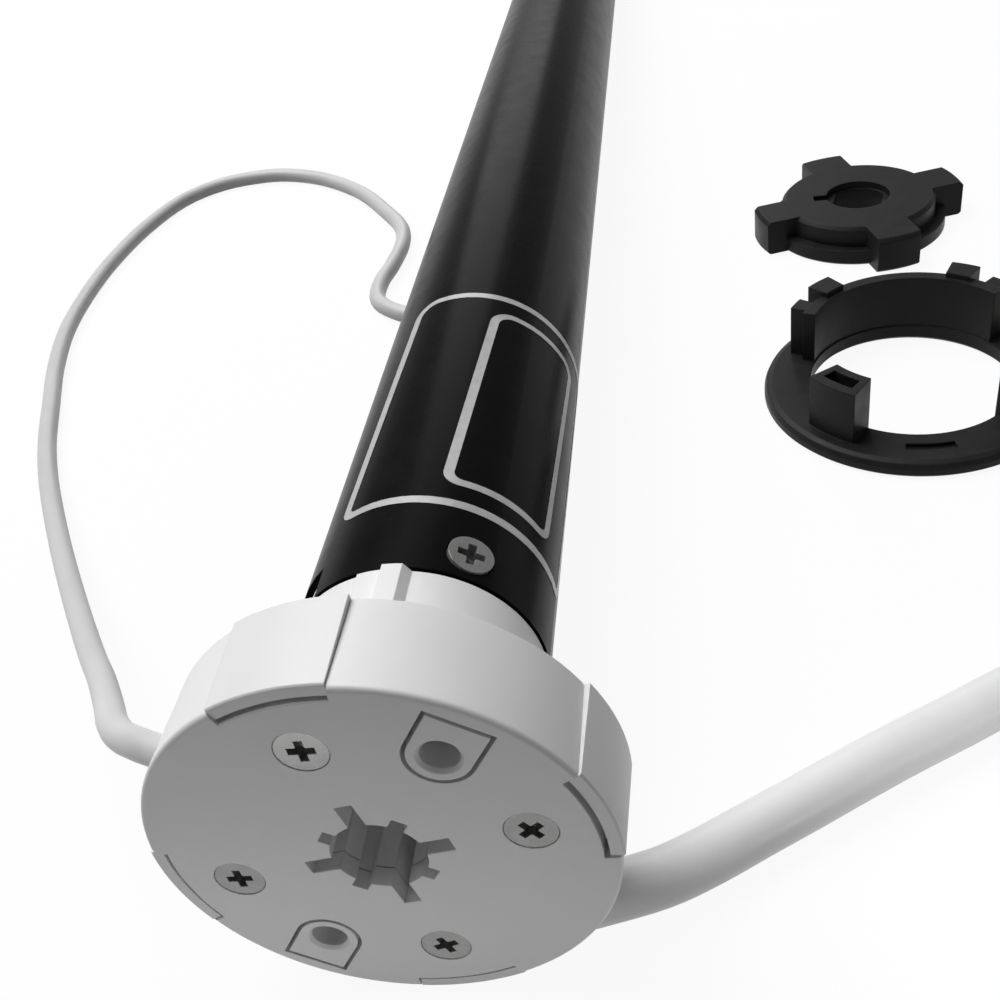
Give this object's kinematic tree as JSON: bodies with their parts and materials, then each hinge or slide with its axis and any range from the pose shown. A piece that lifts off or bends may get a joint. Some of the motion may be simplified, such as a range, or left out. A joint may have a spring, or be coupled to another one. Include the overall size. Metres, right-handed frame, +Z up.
{
  "type": "tubular roller blind motor",
  "caption": "Slim tubular roller blind motor: black tube, round white head with a star socket, running ring, mains and antenna leads, and a loose crown and drive wheel.",
  "frame": {"origin": "centre of the star socket, on the plane of the head's face", "axes": "+Y along the motor's axis from the head to the output shaft, +Z up from the table, +X to the right seen from the head's face"},
  "size_m": [0.2551, 0.4929, 0.0424],
  "materials": {
    "white_plastic": "satin",
    "white_jacket": "smooth",
    "antenna_jacket": "smooth",
    "collar_rubber": "matte",
    "black_tube": "satin",
    "black_plastic": "satin",
    "zinc_steel": "zinc plated",
    "carrier_plastic": "matte",
    "board_green": "solder mask",
    "relay_blue": "smooth",
    "module_metal": "tinned",
    "capacitor_case": "smooth",
    "lead_brown": "smooth",
    "core_blue": "smooth",
    "core_earth": "smooth",
    "laminations": "bare",
    "copper": "enamelled",
    "cast_shield": "cast",
    "bronze": "sintered",
    "ground_steel": "ground",
    "magnet": "bare",
    "lining": "matte",
    "gear_steel": "sintered",
    "planet_plastic": "smooth",
    "tie_fabric": "woven"
  },
  "bodies": {
    "motor": {"head_base": "white_plastic", "head_cover": "white_plastic", "face_screws": "zinc_steel", "cable_grommet": "collar_rubber", "antenna_grommet": "collar_rubber", "tube_plug": "white_plastic", "motor_tube": "black_tube", "tube_screws": "zinc_steel", "board_carrier": "carrier_plastic", "control_board": "board_green", "relays": "relay_blue", "radio_module": "module_metal", "run_capacitor": "capacitor_case", "inner_leads": "lead_brown", "stator_core": "laminations", "stator_winding": "copper", "rear_shield": "cast_shield", "front_shield": "cast_shield", "shaft_bushes": "bronze", "brake_lining": "lining", "gearbox_flange": "cast_shield", "ring_gear": "gear_steel", "output_bush": "bronze", "end_cap": "black_plastic", "mains_cable": "white_jacket", "mains_coil": "white_jacket", "coil_tie": "tie_fabric", "core_brown": "lead_brown", "core_blue": "core_blue", "core_earth": "core_earth", "ferrules": "ground_steel", "antenna_wire": "antenna_jacket"},
    "ring": {"running_ring": "white_plastic"},
    "rotor": {"rotor_core": "laminations", "rotor_shaft": "ground_steel", "encoder_magnet": "magnet", "brake_hub": "ground_steel", "brake_spring": "ground_steel", "sun_gear": "ground_steel"},
    "brake": {"brake_disc": "ground_steel"},
    "carrier_one": {"carrier_1": "gear_steel", "pins_1": "ground_steel"},
    "carrier_two": {"carrier_2": "gear_steel", "pins_2": "ground_steel"},
    "output": {"carrier_3": "gear_steel", "pins_3": "ground_steel", "output_shaft": "ground_steel", "shaft_clip": "zinc_steel"},
    "crown": {"crown": "black_plastic"},
    "drive_wheel": {"drive_wheel": "black_plastic"},
    "planet_1a": {"planet_1a": "planet_plastic"},
    "planet_1b": {"planet_1b": "planet_plastic"},
    "planet_1c": {"planet_1c": "planet_plastic"},
    "planet_2a": {"planet_2a": "planet_plastic"},
    "planet_2b": {"planet_2b": "planet_plastic"},
    "planet_2c": {"planet_2c": "planet_plastic"},
    "planet_3a": {"planet_3a": "planet_plastic"},
    "planet_3b": {"planet_3b": "planet_plastic"},
    "planet_3c": {"planet_3c": "planet_plastic"}
  },
  "joints": [
    {"name": "rotor_spin", "type": "hinge", "parent": "motor", "child": "rotor", "pos_m": [0, 0.3, 0], "axis": [0, 1, 0], "continuous": true},
    {"name": "carrier_one_spin", "type": "hinge", "parent": "motor", "child": "carrier_one", "pos_m": [0, 0.36785, 0], "axis": [0, 1, 0], "continuous": true},
    {"name": "carrier_two_spin", "type": "hinge", "parent": "motor", "child": "carrier_two", "pos_m": [0, 0.37705, 0], "axis": [0, 1, 0], "continuous": true},
    {"name": "output_spin", "type": "hinge", "parent": "motor", "child": "output", "pos_m": [0, 0.39645, 0], "axis": [0, 1, 0], "continuous": true},
    {"name": "ring_spin", "type": "hinge", "parent": "motor", "child": "ring", "pos_m": [0, 0.01542, 0], "axis": [0, 1, 0], "continuous": true},
    {"name": "brake_release", "type": "slide", "parent": "rotor", "child": "brake", "axis": [0, -1, 0], "range_m": [0, 0.0003]},
    {"name": "crown_lift", "type": "slide", "parent": "motor", "child": "crown", "axis": [0, -0.0204, 0.9998], "range_m": [0, 0.06]},
    {"name": "wheel_lift", "type": "slide", "parent": "motor", "child": "drive_wheel", "axis": [0, -0.0204, 0.9998], "range_m": [0, 0.06]},
    {"name": "planet_1a_spin", "type": "hinge", "parent": "carrier_one", "child": "planet_1a", "pos_m": [0.0066, 0.36385, 0], "axis": [0, 1, 0], "continuous": true},
    {"name": "planet_1b_spin", "type": "hinge", "parent": "carrier_one", "child": "planet_1b", "pos_m": [-0.0033, 0.36385, -0.00572], "axis": [0, 1, 0], "continuous": true},
    {"name": "planet_1c_spin", "type": "hinge", "parent": "carrier_one", "child": "planet_1c", "pos_m": [-0.0033, 0.36385, 0.00572], "axis": [0, 1, 0], "continuous": true},
    {"name": "planet_2a_spin", "type": "hinge", "parent": "carrier_two", "child": "planet_2a", "pos_m": [0.0066, 0.37305, 0], "axis": [0, 1, 0], "continuous": true},
    {"name": "planet_2b_spin", "type": "hinge", "parent": "carrier_two", "child": "planet_2b", "pos_m": [-0.0033, 0.37305, -0.00572], "axis": [0, 1, 0], "continuous": true},
    {"name": "planet_2c_spin", "type": "hinge", "parent": "carrier_two", "child": "planet_2c", "pos_m": [-0.0033, 0.37305, 0.00572], "axis": [0, 1, 0], "continuous": true},
    {"name": "planet_3a_spin", "type": "hinge", "parent": "output", "child": "planet_3a", "pos_m": [0.0066, 0.38225, 0], "axis": [0, 1, 0], "continuous": true},
    {"name": "planet_3b_spin", "type": "hinge", "parent": "output", "child": "planet_3b", "pos_m": [-0.0033, 0.38225, -0.00572], "axis": [0, 1, 0], "continuous": true},
    {"name": "planet_3c_spin", "type": "hinge", "parent": "output", "child": "planet_3c", "pos_m": [-0.0033, 0.38225, 0.00572], "axis": [0, 1, 0], "continuous": true}
  ],
  "couplings": [
    {"joint": "carrier_one_spin", "follows": "rotor_spin", "ratio": 0.22727},
    {"joint": "carrier_two_spin", "follows": "rotor_spin", "ratio": 0.051653},
    {"joint": "output_spin", "follows": "rotor_spin", "ratio": 0.011739},
    {"joint": "planet_1a_spin", "follows": "rotor_spin", "ratio": -0.64394},
    {"joint": "planet_1b_spin", "follows": "rotor_spin", "ratio": -0.64394},
    {"joint": "planet_1c_spin", "follows": "rotor_spin", "ratio": -0.64394},
    {"joint": "planet_2a_spin", "follows": "rotor_spin", "ratio": -0.14635},
    {"joint": "planet_2b_spin", "follows": "rotor_spin", "ratio": -0.14635},
    {"joint": "planet_2c_spin", "follows": "rotor_spin", "ratio": -0.14635},
    {"joint": "planet_3a_spin", "follows": "rotor_spin", "ratio": -0.033261},
    {"joint": "planet_3b_spin", "follows": "rotor_spin", "ratio": -0.033261},
    {"joint": "planet_3c_spin", "follows": "rotor_spin", "ratio": -0.033261}
  ]
}
